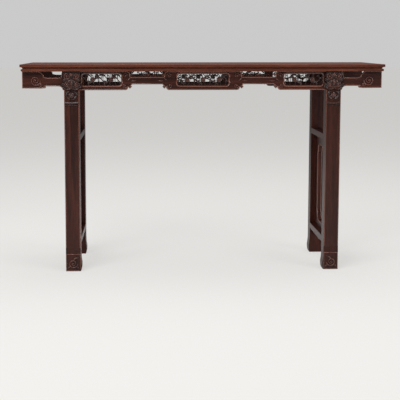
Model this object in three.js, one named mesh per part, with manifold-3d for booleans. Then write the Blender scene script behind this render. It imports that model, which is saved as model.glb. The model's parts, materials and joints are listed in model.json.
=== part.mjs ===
// Carved console table with recessed legs: a mitred top frame with a floating panel, pierced
// aprons seated in forked leg heads, and an open frame between the legs at each end.
// Millimetres. X runs along the table, Y from front to back, Z up from the floor.

import * as THREE from 'three';
import { mergeVertices } from 'three/addons/utils/BufferGeometryUtils.js';
import Module from 'manifold-3d';

const wasm = await Module();
wasm.setup();

// Overall size
const LENGTH = 1500;
const DEPTH = 400;
const HEIGHT = 866;

// Clearance between pieces that touch on the real table
const FIT = 0.3;
const CURVE_STEPS = 6;

// Top frame and its floating panel
const TOP_THICKNESS = 29;
const RAIL_WIDTH = 75;
const GROOVE_DEPTH = 10;
const GROOVE_HEIGHT = 8;
const GROOVE_DROP = 8;
const BATTEN_WIDTH = 40;
const BATTEN_TENON = 8;
const BATTEN_SPACING = 380;

// Legs
const LEG_WIDTH = 62;
const LEG_DEPTH = 46;
const LEG_OVERHANG = 177;
const LEG_SETBACK = 25;
const CHEEK = 8;
const FOOT_SWELL = 4;
const FOOT_SWELL_HEIGHT = 30;
const FOOT_HEIGHT = 78;
const LEG_TENON_WIDTH = 40;
const LEG_TENON_HEIGHT = 11;

// Aprons, measured down from the underside of the top
const APRON_THICKNESS = 16;
const APRON_INSET = 7;
const APRON_DROP = 75;
const END_BLOCK_LENGTH = 82;
const END_BLOCK_DROP = 68;
const END_BAR_TOP = 28;
const END_BAR_DROP = 59;
const MID_BAR_TOP = 25;
const MID_BAR_DROP = 51.5;
const CENTRE_HALF = 157;
const SIDE_FRAME_START = 305;
const LOBE = 12;
const BRACKET = 27;

// Carved panels let into the aprons
const PANEL_TOP = 7;
const PANEL_BOTTOM = 60;
const PANEL_CORNER = 11;
const CENTRE_PANEL_HALF = 98;
const SIDE_PANEL_START = 360;
const SIDE_PANEL_MARGIN = 8;
const PANEL_THICKNESS = 12;
const LEAF_PITCH = 20;
const LEAF_HALF = 9.5;
const LEAF_SWELL = 7;

// Twig inserts above the middle bars
const TWIG_START = 175;
const TWIG_LENGTH = 103;
const TWIG_THICKNESS = 10;
const TWIG_WAVE = 5;

// Cloud lappets on the leg heads
const LAPPET_WIDTH = 66;
const LAPPET_THICKNESS = 8;

// End frames
const STRETCHER_WIDTH = 40;
const STRETCHER_TENON = 12;
const UPPER_STRETCHER_TOP = 572;
const UPPER_STRETCHER_HEIGHT = 24;
const LOWER_STRETCHER_TOP = 137;
const LOWER_STRETCHER_HEIGHT = 25;
const FRAME_INSET = 22;
const FRAME_THICKNESS = 16;
const FRAME_UPRIGHT = 50;
const FRAME_TOP_MEMBER = 42;
const FRAME_BOTTOM_MEMBER = 28;
const FRAME_CORNER = 40;
const LOWER_APRON_HEIGHT = 27;
const LOWER_APRON_THICKNESS = 14;
const END_APRON_HEIGHT = 48;
const END_APRON_THICKNESS = 16;
const END_APRON_INSET = 6;

// Places worked out from the sizes above
const UNDER_TOP = HEIGHT - TOP_THICKNESS;
const APRON_TOP = UNDER_TOP - FIT;
const LEG_X = LENGTH / 2 - LEG_OVERHANG - LEG_WIDTH / 2;
const LEG_INNER = LEG_X - LEG_WIDTH / 2;
const LEG_OUTER = LEG_X + LEG_WIDTH / 2;
const LEG_FRONT = -DEPTH / 2 + LEG_SETBACK;
const LEG_BACK = LEG_FRONT + LEG_DEPTH;
const APRON_FRONT = LEG_FRONT + CHEEK;
const APRON_BACK = APRON_FRONT + APRON_THICKNESS;
const APRON_END = LENGTH / 2 - APRON_INSET;
const SIDE_PANEL_END = LEG_INNER - SIDE_PANEL_MARGIN;
const TENON_FRONT = APRON_BACK + FIT + 4;
const TENON_BACK = LEG_BACK - 4;
const GROOVE_TOP = HEIGHT - GROOVE_DROP;
const GROOVE_BOTTOM = GROOVE_TOP - GROOVE_HEIGHT;

const FINISHES = {
  polished: { color: 0x6b3526, roughness: 0.28 },
  body: { color: 0x57291e, roughness: 0.34 },
  carved: { color: 0x48221a, roughness: 0.42 },
};

const table = new THREE.Group();
table.name = 'carved_console_table';

function toSolid(geometry) {
  const bare = geometry.clone();
  bare.deleteAttribute('normal');
  bare.deleteAttribute('uv');
  const merged = mergeVertices(bare, 1e-4);
  const vertProperties = new Float32Array(merged.attributes.position.array);
  const triVerts = new Uint32Array(merged.index.array);
  return new wasm.Manifold(new wasm.Mesh({ numProp: 3, vertProperties, triVerts }));
}

function toGeometry(solid) {
  const mesh = solid.getMesh();
  const geometry = new THREE.BufferGeometry();
  geometry.setAttribute('position', new THREE.BufferAttribute(mesh.vertProperties, 3));
  geometry.setIndex(new THREE.BufferAttribute(mesh.triVerts, 1));
  geometry.computeVertexNormals();
  return geometry;
}

function add(name, geometry, finish) {
  const material = new THREE.MeshStandardMaterial({ ...FINISHES[finish], metalness: 0 });
  const mesh = new THREE.Mesh(geometry, material);
  mesh.name = name;
  table.add(mesh);
}

function box(x0, x1, y0, y1, z0, z1) {
  const geometry = new THREE.BoxGeometry(x1 - x0, y1 - y0, z1 - z0);
  geometry.translate((x0 + x1) / 2, (y0 + y1) / 2, (z0 + z1) / 2);
  return geometry;
}

// A shape drawn in X and Z, given a thickness from y0 to y1
function plate(shape, y0, y1) {
  const geometry = new THREE.ExtrudeGeometry(shape, {
    depth: y1 - y0,
    bevelEnabled: false,
    curveSegments: CURVE_STEPS,
  });
  geometry.rotateX(Math.PI / 2);
  geometry.translate(0, y1, 0);
  return geometry;
}

// A shape drawn in Y and Z, given a thickness from x0 to x1
function sidePlate(shape, x0, x1) {
  const geometry = new THREE.ExtrudeGeometry(shape, {
    depth: x1 - x0,
    bevelEnabled: false,
    curveSegments: CURVE_STEPS,
  });
  const turn = new THREE.Matrix4().makeBasis(
    new THREE.Vector3(0, 1, 0),
    new THREE.Vector3(0, 0, 1),
    new THREE.Vector3(1, 0, 0),
  );
  geometry.applyMatrix4(turn);
  geometry.translate(x0, 0, 0);
  return geometry;
}

// The same piece on the opposite side, turned half round the upright axis
function turned(geometry) {
  return geometry.clone().rotateZ(Math.PI);
}

// The same piece mirrored left to right, with its faces kept outwards
function mirrored(geometry) {
  const copy = geometry.index ? geometry.toNonIndexed() : geometry.clone();
  const positions = copy.attributes.position;
  const corner = new THREE.Vector3();
  const other = new THREE.Vector3();
  for (let i = 0; i < positions.count; i += 3) {
    for (let j = 0; j < 3; j += 1) {
      corner.fromBufferAttribute(positions, i + j);
      positions.setXYZ(i + j, -corner.x, corner.y, corner.z);
    }
    corner.fromBufferAttribute(positions, i + 1);
    other.fromBufferAttribute(positions, i + 2);
    positions.setXYZ(i + 1, other.x, other.y, other.z);
    positions.setXYZ(i + 2, corner.x, corner.y, corner.z);
  }
  copy.computeVertexNormals();
  return copy;
}

// Shape from the right half of an outline that is the same on both sides
function symmetricShape(half) {
  const right = half.getPoints(CURVE_STEPS);
  const left = right.map((point) => new THREE.Vector2(-point.x, point.y)).reverse();
  const points = [...right, ...left];
  const kept = points.filter((point, i) => point.distanceTo(points[(i + 1) % points.length]) > 1e-3);
  return new THREE.Shape(kept);
}

// The moulded section of the top frame, as distance in from the outer edge and height
function railSection() {
  const section = new THREE.Shape();
  section.moveTo(0, HEIGHT - 2);
  section.quadraticCurveTo(0, HEIGHT, 2, HEIGHT);
  section.lineTo(RAIL_WIDTH, HEIGHT);
  section.lineTo(RAIL_WIDTH, GROOVE_TOP);
  section.lineTo(RAIL_WIDTH - GROOVE_DEPTH, GROOVE_TOP);
  section.lineTo(RAIL_WIDTH - GROOVE_DEPTH, GROOVE_BOTTOM);
  section.lineTo(RAIL_WIDTH, GROOVE_BOTTOM);
  section.lineTo(RAIL_WIDTH, UNDER_TOP);
  section.lineTo(9, UNDER_TOP);
  section.quadraticCurveTo(4, UNDER_TOP + 0.5, 4, UNDER_TOP + 5.5);
  section.quadraticCurveTo(4, UNDER_TOP + 10.5, 10, UNDER_TOP + 11);
  section.lineTo(10, UNDER_TOP + 14);
  section.quadraticCurveTo(9, UNDER_TOP + 17, 2, UNDER_TOP + 18);
  section.quadraticCurveTo(0, UNDER_TOP + 18, 0, UNDER_TOP + 20);
  return section;
}

// A rail of the given outer length with both ends mitred, its outer edge on -Y
function mitredRail(length, offset) {
  const geometry = sidePlate(railSection(), -length / 2, length / 2);
  const positions = geometry.attributes.position;
  for (let i = 0; i < positions.count; i += 1) {
    const inset = positions.getY(i);
    const x = positions.getX(i);
    positions.setX(i, Math.sign(x) * (length / 2 - inset - FIT / 2));
    positions.setY(i, inset - offset);
  }
  return geometry;
}

function cornerTenon(play) {
  const outer = LENGTH / 2 - RAIL_WIDTH * 0.35;
  const inner = LENGTH / 2 - RAIL_WIDTH * 0.6;
  const tip = -DEPTH / 2 + 13;
  const root = -DEPTH / 2 + RAIL_WIDTH * 0.75;
  const low = UNDER_TOP + 4;
  const high = UNDER_TOP + 10;
  return box(inner - play, outer + play, tip - play, root, low - play, high + play);
}

function buildTop() {
  let longRail = toSolid(mitredRail(LENGTH, DEPTH / 2));
  for (const corner of [cornerTenon(FIT), mirrored(cornerTenon(FIT))]) {
    longRail = longRail.subtract(toSolid(corner));
  }
  for (const mortise of [legTenon(FIT), mirrored(legTenon(FIT))]) {
    longRail = longRail.subtract(toSolid(mortise));
  }
  for (const x of [-BATTEN_SPACING, 0, BATTEN_SPACING]) {
    longRail = longRail.subtract(toSolid(battenTenon(x, FIT)));
  }
  const front = toGeometry(longRail);
  add('top_rail_front', front, 'polished');
  add('top_rail_back', turned(front), 'polished');

  const endRail = mitredRail(DEPTH, LENGTH / 2);
  endRail.rotateZ(Math.PI / 2);
  let rightEnd = toSolid(endRail);
  const backTenon = mirrored(turned(cornerTenon(0)));
  rightEnd = rightEnd.add(toSolid(cornerTenon(0))).add(toSolid(backTenon));
  const right = toGeometry(rightEnd);
  add('top_rail_right', right, 'polished');
  add('top_rail_left', turned(right), 'polished');

  const panelX = LENGTH / 2 - RAIL_WIDTH - FIT;
  const panelY = DEPTH / 2 - RAIL_WIDTH - FIT;
  const tongue = GROOVE_DEPTH - 1;
  const panelBottom = GROOVE_BOTTOM + FIT;
  const board = box(-panelX, panelX, -panelY, panelY, panelBottom, HEIGHT - FIT);
  const tongueX = panelX + tongue;
  const tongueY = panelY + tongue;
  const tongueBoard = box(-tongueX, tongueX, -tongueY, tongueY, panelBottom, GROOVE_TOP - FIT);
  add('top_panel', toGeometry(toSolid(board).add(toSolid(tongueBoard))), 'polished');

  const names = ['left', 'centre', 'right'];
  names.forEach((name, i) => {
    const x = (i - 1) * BATTEN_SPACING;
    const half = BATTEN_WIDTH / 2;
    const body = box(x - half, x + half, -panelY, panelY, UNDER_TOP, GROOVE_BOTTOM);
    const tenon = battenTenon(x, 0);
    const solid = toSolid(body).add(toSolid(tenon)).add(toSolid(battenBackTenon(x)));
    add(`top_batten_${name}`, toGeometry(solid), 'body');
  });
}

function battenTenon(x, play) {
  const half = BATTEN_WIDTH / 2 - 6 + play;
  const edge = -DEPTH / 2 + RAIL_WIDTH;
  const tip = edge - BATTEN_TENON - play;
  return box(x - half, x + half, tip, edge + 5, UNDER_TOP + 3 - play, UNDER_TOP + 9 + play);
}

function battenBackTenon(x) {
  return turned(battenTenon(-x, 0));
}

// The tenon on a leg head, behind the apron, that holds the top
function legTenon(play) {
  const half = LEG_TENON_WIDTH / 2 + play;
  const low = UNDER_TOP - 5;
  const high = UNDER_TOP + LEG_TENON_HEIGHT + play;
  return box(LEG_X - half, LEG_X + half, TENON_FRONT - play, TENON_BACK + play, low, high);
}

function legOutline() {
  const half = LEG_WIDTH / 2;
  const outline = new THREE.Shape();
  outline.moveTo(LEG_X + half, 0);
  outline.lineTo(LEG_X + half, APRON_TOP);
  outline.lineTo(LEG_X - half, APRON_TOP);
  outline.lineTo(LEG_X - half, FOOT_HEIGHT);
  const swell = LEG_X - half - FOOT_SWELL;
  outline.quadraticCurveTo(LEG_X - half, FOOT_SWELL_HEIGHT + 18, swell, FOOT_SWELL_HEIGHT);
  outline.quadraticCurveTo(swell, 8, LEG_X - half, 0);
  return outline;
}

function stretcherTenon(x0, x1, top, height, play) {
  const inset = 6;
  const tip = LEG_BACK - STRETCHER_TENON - play;
  const x = [x0 + inset - play, x1 - inset + play];
  return box(x[0], x[1], tip, LEG_BACK + 5, top - height + inset - play, top - inset + play);
}

const STRETCHER_INNER = LEG_INNER;
const STRETCHER_OUTER = LEG_INNER + STRETCHER_WIDTH;
const END_APRON_OUTER = LEG_OUTER - END_APRON_INSET;
const END_APRON_INNER = END_APRON_OUTER - END_APRON_THICKNESS;
const END_APRON_BOTTOM = APRON_TOP - END_APRON_HEIGHT;

const STRETCHERS = [
  { name: 'upper_stretcher', top: UPPER_STRETCHER_TOP, height: UPPER_STRETCHER_HEIGHT },
  { name: 'lower_stretcher', top: LOWER_STRETCHER_TOP, height: LOWER_STRETCHER_HEIGHT },
];

function buildLegs() {
  const slot = box(
    LEG_INNER - 20, LEG_OUTER + 20,
    APRON_FRONT - FIT, APRON_BACK + FIT,
    UNDER_TOP - APRON_DROP - FIT, HEIGHT,
  );
  let leg = toSolid(plate(legOutline(), LEG_FRONT, LEG_BACK));
  leg = leg.subtract(toSolid(slot)).add(toSolid(legTenon(0)));
  for (const { top, height } of STRETCHERS) {
    const mortise = stretcherTenon(STRETCHER_INNER, STRETCHER_OUTER, top, height, FIT);
    leg = leg.subtract(toSolid(mortise));
  }
  leg = leg.subtract(toSolid(endApronTenon(FIT)));
  const frontRight = toGeometry(leg);
  const frontLeft = mirrored(frontRight);
  add('leg_front_left', frontLeft, 'body');
  add('leg_front_right', frontRight, 'body');
  add('leg_back_left', turned(frontRight), 'body');
  add('leg_back_right', turned(frontLeft), 'body');
}

function endApronTenon(play) {
  const tip = LEG_BACK - 8 - play;
  return box(
    END_APRON_INNER + 4 - play, END_APRON_OUTER - 4 + play,
    tip, LEG_BACK + 5,
    END_APRON_BOTTOM + 8 - play, APRON_TOP - 8 + play,
  );
}

function apronOutline() {
  const half = new THREE.Path();
  const low = UNDER_TOP - APRON_DROP;
  const barLow = UNDER_TOP - MID_BAR_DROP;
  const barTop = UNDER_TOP - MID_BAR_TOP;
  const endLow = UNDER_TOP - END_BAR_DROP;
  const endTop = UNDER_TOP - END_BAR_TOP;
  const blockLow = UNDER_TOP - END_BLOCK_DROP;
  const block = APRON_END - END_BLOCK_LENGTH;
  half.moveTo(0, low);
  half.lineTo(CENTRE_HALF - LOBE, low);
  half.quadraticCurveTo(CENTRE_HALF + 2, low, CENTRE_HALF, low + LOBE);
  half.quadraticCurveTo(CENTRE_HALF, barLow, CENTRE_HALF + LOBE, barLow);
  half.lineTo(SIDE_FRAME_START - LOBE, barLow);
  half.quadraticCurveTo(SIDE_FRAME_START, barLow, SIDE_FRAME_START, low + LOBE);
  half.quadraticCurveTo(SIDE_FRAME_START - 2, low, SIDE_FRAME_START + LOBE, low);
  half.lineTo(LEG_OUTER, low);
  half.quadraticCurveTo(LEG_OUTER + 4, endLow - 2, LEG_OUTER + BRACKET, endLow);
  half.lineTo(block - LOBE, endLow);
  half.quadraticCurveTo(block, endLow, block + 2, blockLow);
  half.lineTo(APRON_END, blockLow);
  half.lineTo(APRON_END, APRON_TOP);
  half.lineTo(block, APRON_TOP);
  half.bezierCurveTo(block - 10, APRON_TOP - 2, block - 2, endTop + 2, block - 16, endTop);
  half.lineTo(LEG_OUTER + BRACKET, endTop);
  half.quadraticCurveTo(LEG_OUTER + 12, endTop, LEG_OUTER + 10, APRON_TOP);
  half.lineTo(SIDE_FRAME_START + LOBE, APRON_TOP);
  half.quadraticCurveTo(SIDE_FRAME_START, APRON_TOP, SIDE_FRAME_START, barTop + 8);
  half.quadraticCurveTo(SIDE_FRAME_START, barTop, SIDE_FRAME_START - LOBE, barTop);
  half.lineTo(CENTRE_HALF + LOBE, barTop);
  half.quadraticCurveTo(CENTRE_HALF, barTop, CENTRE_HALF, barTop + 8);
  half.quadraticCurveTo(CENTRE_HALF, APRON_TOP, CENTRE_HALF - LOBE, APRON_TOP);
  half.lineTo(0, APRON_TOP);
  return symmetricShape(half);
}

// The opening for a carved panel, or the panel's own edge when play is above nought
function panelOutline(x0, x1, play, Kind) {
  const low = UNDER_TOP - PANEL_BOTTOM + play;
  const high = UNDER_TOP - PANEL_TOP - play;
  const left = x0 + play;
  const right = x1 - play;
  const corner = PANEL_CORNER;
  const path = new Kind();
  path.moveTo(left + corner, low);
  path.lineTo(right - corner, low);
  path.quadraticCurveTo(right, low, right, low + corner);
  path.lineTo(right, high - corner);
  path.quadraticCurveTo(right, high, right - corner, high);
  path.lineTo(left + corner, high);
  path.quadraticCurveTo(left, high, left, high - corner);
  path.lineTo(left, low + corner);
  path.quadraticCurveTo(left, low, left + corner, low);
  return path;
}

// A pointed leaf-shaped piercing at a place, leaning by an angle
function leafHole(x, z, angle) {
  const hole = new THREE.Path();
  const along = new THREE.Vector2(Math.cos(angle), Math.sin(angle));
  const across = new THREE.Vector2(-along.y, along.x);
  const at = (u, v) => [x + along.x * u + across.x * v, z + along.y * u + across.y * v];
  hole.moveTo(...at(-LEAF_HALF, 0));
  hole.quadraticCurveTo(...at(0, -LEAF_SWELL), ...at(LEAF_HALF, 0));
  hole.quadraticCurveTo(...at(0, LEAF_SWELL), ...at(-LEAF_HALF, 0));
  return hole;
}

const PANELS = [
  { name: 'left', x0: -SIDE_PANEL_END, x1: -SIDE_PANEL_START },
  { name: 'centre', x0: -CENTRE_PANEL_HALF, x1: CENTRE_PANEL_HALF },
  { name: 'right', x0: SIDE_PANEL_START, x1: SIDE_PANEL_END },
];

function carvedPanel({ x0, x1 }) {
  const shape = panelOutline(x0, x1, FIT, THREE.Shape);
  const columns = Math.floor((x1 - x0 - 12) / LEAF_PITCH);
  const middle = UNDER_TOP - (PANEL_TOP + PANEL_BOTTOM) / 2;
  const rise = (PANEL_BOTTOM - PANEL_TOP) / 4;
  for (let i = 0; i < columns; i += 1) {
    const x = (x0 + x1) / 2 + (i - (columns - 1) / 2) * LEAF_PITCH;
    const lean = i % 2 === 0 ? 0.9 : -0.9;
    shape.holes.push(leafHole(x, middle + rise, lean));
    shape.holes.push(leafHole(x, middle - rise, -lean));
  }
  const front = APRON_FRONT + (APRON_THICKNESS - PANEL_THICKNESS) / 2;
  const geometry = new THREE.ExtrudeGeometry(shape, {
    depth: PANEL_THICKNESS,
    bevelEnabled: false,
    curveSegments: 3,
  });
  geometry.rotateX(Math.PI / 2);
  geometry.translate(0, front + PANEL_THICKNESS, 0);
  return geometry;
}

function twigInsert() {
  const low = UNDER_TOP - MID_BAR_TOP + FIT;
  const high = APRON_TOP - TWIG_WAVE;
  const shape = new THREE.Shape();
  shape.moveTo(TWIG_START, low);
  shape.lineTo(TWIG_START + TWIG_LENGTH, low);
  const steps = 24;
  for (let i = 0; i <= steps; i += 1) {
    const share = i / steps;
    const taper = Math.sin(Math.PI * (0.08 + 0.84 * share));
    const z = low + (high - low) * taper + TWIG_WAVE * taper * Math.sin(share * Math.PI * 8);
    shape.lineTo(TWIG_START + TWIG_LENGTH * (1 - share), z);
  }
  const front = APRON_FRONT + (APRON_THICKNESS - TWIG_THICKNESS) / 2;
  return plate(shape, front, front + TWIG_THICKNESS);
}

function buildAprons() {
  const shape = apronOutline();
  for (const { x0, x1 } of PANELS) {
    shape.holes.push(panelOutline(x0, x1, 0, THREE.Path));
  }
  const apron = plate(shape, APRON_FRONT, APRON_BACK);
  add('apron_front', apron, 'body');
  add('apron_back', turned(apron), 'body');
  for (const panel of PANELS) {
    const carved = carvedPanel(panel);
    add(`carved_panel_front_${panel.name}`, carved, 'carved');
    add(`carved_panel_back_${panel.name}`, mirrored(turned(carved)), 'carved');
  }
  const twig = twigInsert();
  add('twig_front_right', twig, 'carved');
  add('twig_front_left', mirrored(twig), 'carved');
  add('twig_back_left', turned(twig), 'carved');
  add('twig_back_right', mirrored(turned(twig)), 'carved');
}

// Cloud-shaped cover of a leg head, with a double scallop below
function lappetOutline() {
  const half = new THREE.Path();
  const side = LAPPET_WIDTH / 2;
  const low = UNDER_TOP - APRON_DROP;
  half.moveTo(0, low + 5);
  half.quadraticCurveTo(4, low, side * 0.5, low);
  half.quadraticCurveTo(side * 0.95, low + 1, side * 0.94, low + 12);
  half.quadraticCurveTo(side * 0.72, low + 20, side * 0.86, low + 28);
  half.quadraticCurveTo(side, low + 34, side, low + 44);
  half.lineTo(side, APRON_TOP);
  half.lineTo(0, APRON_TOP);
  return symmetricShape(half);
}

function buildLappets() {
  const back = LEG_FRONT - FIT;
  const lappet = plate(lappetOutline(), back - LAPPET_THICKNESS, back);
  const frontRight = lappet.clone().translate(LEG_X, 0, 0);
  const frontLeft = lappet.clone().translate(-LEG_X, 0, 0);
  add('cloud_lappet_front_left', frontLeft, 'carved');
  add('cloud_lappet_front_right', frontRight, 'carved');
  add('cloud_lappet_back_left', turned(frontRight), 'carved');
  add('cloud_lappet_back_right', turned(frontLeft), 'carved');
}

// Board between two legs whose lower edge rises in a shallow double curve
function scallopedBoard(span, low, high, rise) {
  const half = new THREE.Path();
  half.moveTo(0, low + rise * 0.4);
  half.quadraticCurveTo(span * 0.08, low + rise, span * 0.45, low + rise);
  half.quadraticCurveTo(span * 0.86, low + rise, span * 0.9, low);
  half.lineTo(span, low);
  half.lineTo(span, high);
  half.lineTo(0, high);
  return symmetricShape(half);
}

function innerEdge(edge, span, corner) {
  const half = new THREE.Path();
  half.moveTo(0, edge);
  half.lineTo(span - corner, edge);
  half.quadraticCurveTo(span - corner * 0.3, edge, span - corner * 0.3, edge + corner * 0.4);
  half.quadraticCurveTo(span - corner * 0.3, edge + corner * 0.8, span, edge + corner);
  return half;
}

function addPair(name, geometry, finish) {
  add(`${name}_right`, geometry, finish);
  add(`${name}_left`, turned(geometry), finish);
}

function buildEnds() {
  const span = -LEG_BACK - FIT;
  for (const { name, top, height } of STRETCHERS) {
    let rail = toSolid(box(STRETCHER_INNER, STRETCHER_OUTER, -span, span, top - height, top));
    const tenon = stretcherTenon(STRETCHER_INNER, STRETCHER_OUTER, top, height, 0);
    rail = rail.add(toSolid(tenon)).add(toSolid(mirrored(turned(tenon))));
    addPair(name, toGeometry(rail), 'body');
  }

  const x0 = LEG_INNER + FRAME_INSET;
  const x1 = x0 + FRAME_THICKNESS;
  const low = LOWER_STRETCHER_TOP + FIT;
  const high = UPPER_STRETCHER_TOP - UPPER_STRETCHER_HEIGHT - FIT;
  const upright = box(x0, x1, -span, -span + FRAME_UPRIGHT, low, high);
  add('frame_upright_front_right', upright, 'body');
  add('frame_upright_back_right', mirrored(turned(upright)), 'body');
  add('frame_upright_back_left', turned(upright), 'body');
  add('frame_upright_front_left', mirrored(upright), 'body');

  const reach = span - FRAME_UPRIGHT - FIT;
  const bottomHalf = innerEdge(low + FRAME_BOTTOM_MEMBER, reach, FRAME_CORNER);
  bottomHalf.lineTo(reach, low);
  bottomHalf.lineTo(0, low);
  addPair('frame_bottom', sidePlate(symmetricShape(bottomHalf), x0, x1), 'body');

  const topPoints = innerEdge(-high + FRAME_TOP_MEMBER, reach, FRAME_CORNER);
  topPoints.lineTo(reach, -high);
  topPoints.lineTo(0, -high);
  const topMember = sidePlate(symmetricShape(topPoints), -x1, -x0);
  topMember.rotateY(Math.PI);
  addPair('frame_top', topMember, 'body');

  const underLower = LOWER_STRETCHER_TOP - LOWER_STRETCHER_HEIGHT - FIT;
  const apronLow = underLower - LOWER_APRON_HEIGHT;
  const lowerShape = scallopedBoard(span, apronLow, underLower, 12);
  const lowerInner = (STRETCHER_INNER + STRETCHER_OUTER - LOWER_APRON_THICKNESS) / 2;
  const lowerApron = sidePlate(lowerShape, lowerInner, lowerInner + LOWER_APRON_THICKNESS);
  addPair('lower_apron', lowerApron, 'body');

  const endShape = scallopedBoard(span, END_APRON_BOTTOM, APRON_TOP, 14);
  let endApron = toSolid(sidePlate(endShape, END_APRON_INNER, END_APRON_OUTER));
  const tenon = endApronTenon(0);
  endApron = endApron.add(toSolid(tenon)).add(toSolid(mirrored(turned(tenon))));
  addPair('end_apron', toGeometry(endApron), 'body');
}

buildTop();
buildLegs();
buildAprons();
buildLappets();
buildEnds();

export default table;
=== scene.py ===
"""Looks of the carved console table: carving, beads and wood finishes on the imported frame.

Lengths in the dataclasses are millimetres in the frame's axes: X along the table, Y from
front to back, Z up from the floor. Only the lamps are placed and sized in metres. Meshes are
made in metres.
"""

from __future__ import annotations

import json
import logging
import math
from dataclasses import dataclass, field
from enum import Enum
from typing import Callable, Iterable, Sequence

import bpy
from mathutils import Matrix, Vector

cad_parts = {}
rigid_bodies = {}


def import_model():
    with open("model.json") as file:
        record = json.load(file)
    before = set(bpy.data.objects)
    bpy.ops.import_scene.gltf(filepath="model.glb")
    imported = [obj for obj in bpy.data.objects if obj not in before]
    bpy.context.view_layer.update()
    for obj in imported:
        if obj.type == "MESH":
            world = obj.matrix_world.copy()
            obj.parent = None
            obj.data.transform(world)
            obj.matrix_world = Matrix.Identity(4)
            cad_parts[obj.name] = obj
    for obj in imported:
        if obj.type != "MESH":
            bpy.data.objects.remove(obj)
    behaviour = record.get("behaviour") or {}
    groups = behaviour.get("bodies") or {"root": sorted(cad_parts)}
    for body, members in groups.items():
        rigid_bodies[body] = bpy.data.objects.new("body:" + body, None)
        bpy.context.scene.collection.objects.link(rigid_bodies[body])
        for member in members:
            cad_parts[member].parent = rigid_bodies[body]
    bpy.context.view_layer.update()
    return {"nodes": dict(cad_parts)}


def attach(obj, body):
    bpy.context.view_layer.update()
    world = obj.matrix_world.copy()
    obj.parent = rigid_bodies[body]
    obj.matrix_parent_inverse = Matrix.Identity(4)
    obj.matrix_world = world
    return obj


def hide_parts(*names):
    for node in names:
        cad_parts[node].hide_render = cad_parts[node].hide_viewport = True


log = logging.getLogger("console_table")
MM = 0.001
ROOT = "root"
TAU = 2 * math.pi
QUARTER_TURN = math.pi / 2
# Corners round one carved stroke
RING_STEPS = 10
# Edges bent by more than this are drawn sharp
SHARP = math.radians(50)
# Relief of a wood without carving, which leaves its colour close to the finish's own, with neither
# painted shade nor painted highlight
PLAIN_RELIEF = 0.42
# Millimetres of depth over which the relief of a carving falls from 1 to 0
RELIEF_RANGE = 5.5
COAT_ROUGHNESS = 0.2

Point = tuple[float, float, float]
Flat = tuple[float, float]
Width = Callable[[float], float]


class Grain(Enum):
    """Direction the wood grain runs in, as the stretch of the noise on each axis."""

    ALONG_X = (0.06, 1.0, 1.0)
    ALONG_Y = (1.0, 0.06, 1.0)
    ALONG_Z = (1.0, 1.0, 0.06)


class Side(Enum):
    """Where a copy of a front right piece goes, as signs for X and Y."""

    FRONT_RIGHT = (1, 1)
    FRONT_LEFT = (-1, 1)
    BACK_RIGHT = (1, -1)
    BACK_LEFT = (-1, -1)

    @property
    def label(self) -> str:
        """Name of the side in the way that node names give it."""
        return self.name.lower()


ROWS = ((Side.FRONT_RIGHT, "front"), (Side.BACK_RIGHT, "back"))


def shown(name: str, data: bpy.types.ID) -> bpy.types.Object:
    """Adds an object to the scene.

    Args:
        name: name of the object.
        data: its mesh, curve, light or camera.

    Returns:
        The object.
    """
    made = bpy.data.objects.new(name, data)
    bpy.context.scene.collection.objects.link(made)
    return made


def add_sockets(tree: bpy.types.NodeTree, inputs: dict[str, str], outputs: dict[str, str]) -> None:
    """Gives a node group its inputs and outputs.

    Args:
        tree: the group.
        inputs: kind of each input by name, such as Float.
        outputs: kind of each output by name.
    """
    for way, sockets in (("INPUT", inputs), ("OUTPUT", outputs)):
        for name, kind in sockets.items():
            tree.interface.new_socket(name, in_out=way, socket_type=f"NodeSocket{kind}")


def remapped(tree: bpy.types.NodeTree, value: bpy.types.NodeSocket, source: Flat,
             target: Flat) -> bpy.types.NodeSocket:
    """Carries a value from one range into another.

    Args:
        tree: the tree that the node goes in.
        value: the value.
        source: range that the value comes in.
        target: range that it leaves in.

    Returns:
        The socket of the new value.
    """
    node = tree.nodes.new("ShaderNodeMapRange")
    for name, end in zip(("From Min", "From Max", "To Min", "To Max"), (*source, *target)):
        node.inputs[name].default_value = end
    tree.links.new(value, node.inputs["Value"])
    return node.outputs["Result"]


def multiplied(tree: bpy.types.NodeTree, first: bpy.types.NodeSocket,
               second: bpy.types.NodeSocket) -> bpy.types.NodeSocket:
    """Multiplies two colours.

    Args:
        tree: the tree that the node goes in.
        first: one colour.
        second: the other colour or a grey level.

    Returns:
        The socket of the product.
    """
    node = tree.nodes.new("ShaderNodeMix")
    node.data_type = "RGBA"
    node.blend_type = "MULTIPLY"
    node.inputs["Factor"].default_value = 1.0
    tree.links.new(first, node.inputs["A"])
    tree.links.new(second, node.inputs["B"])
    return node.outputs["Result"]


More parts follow.
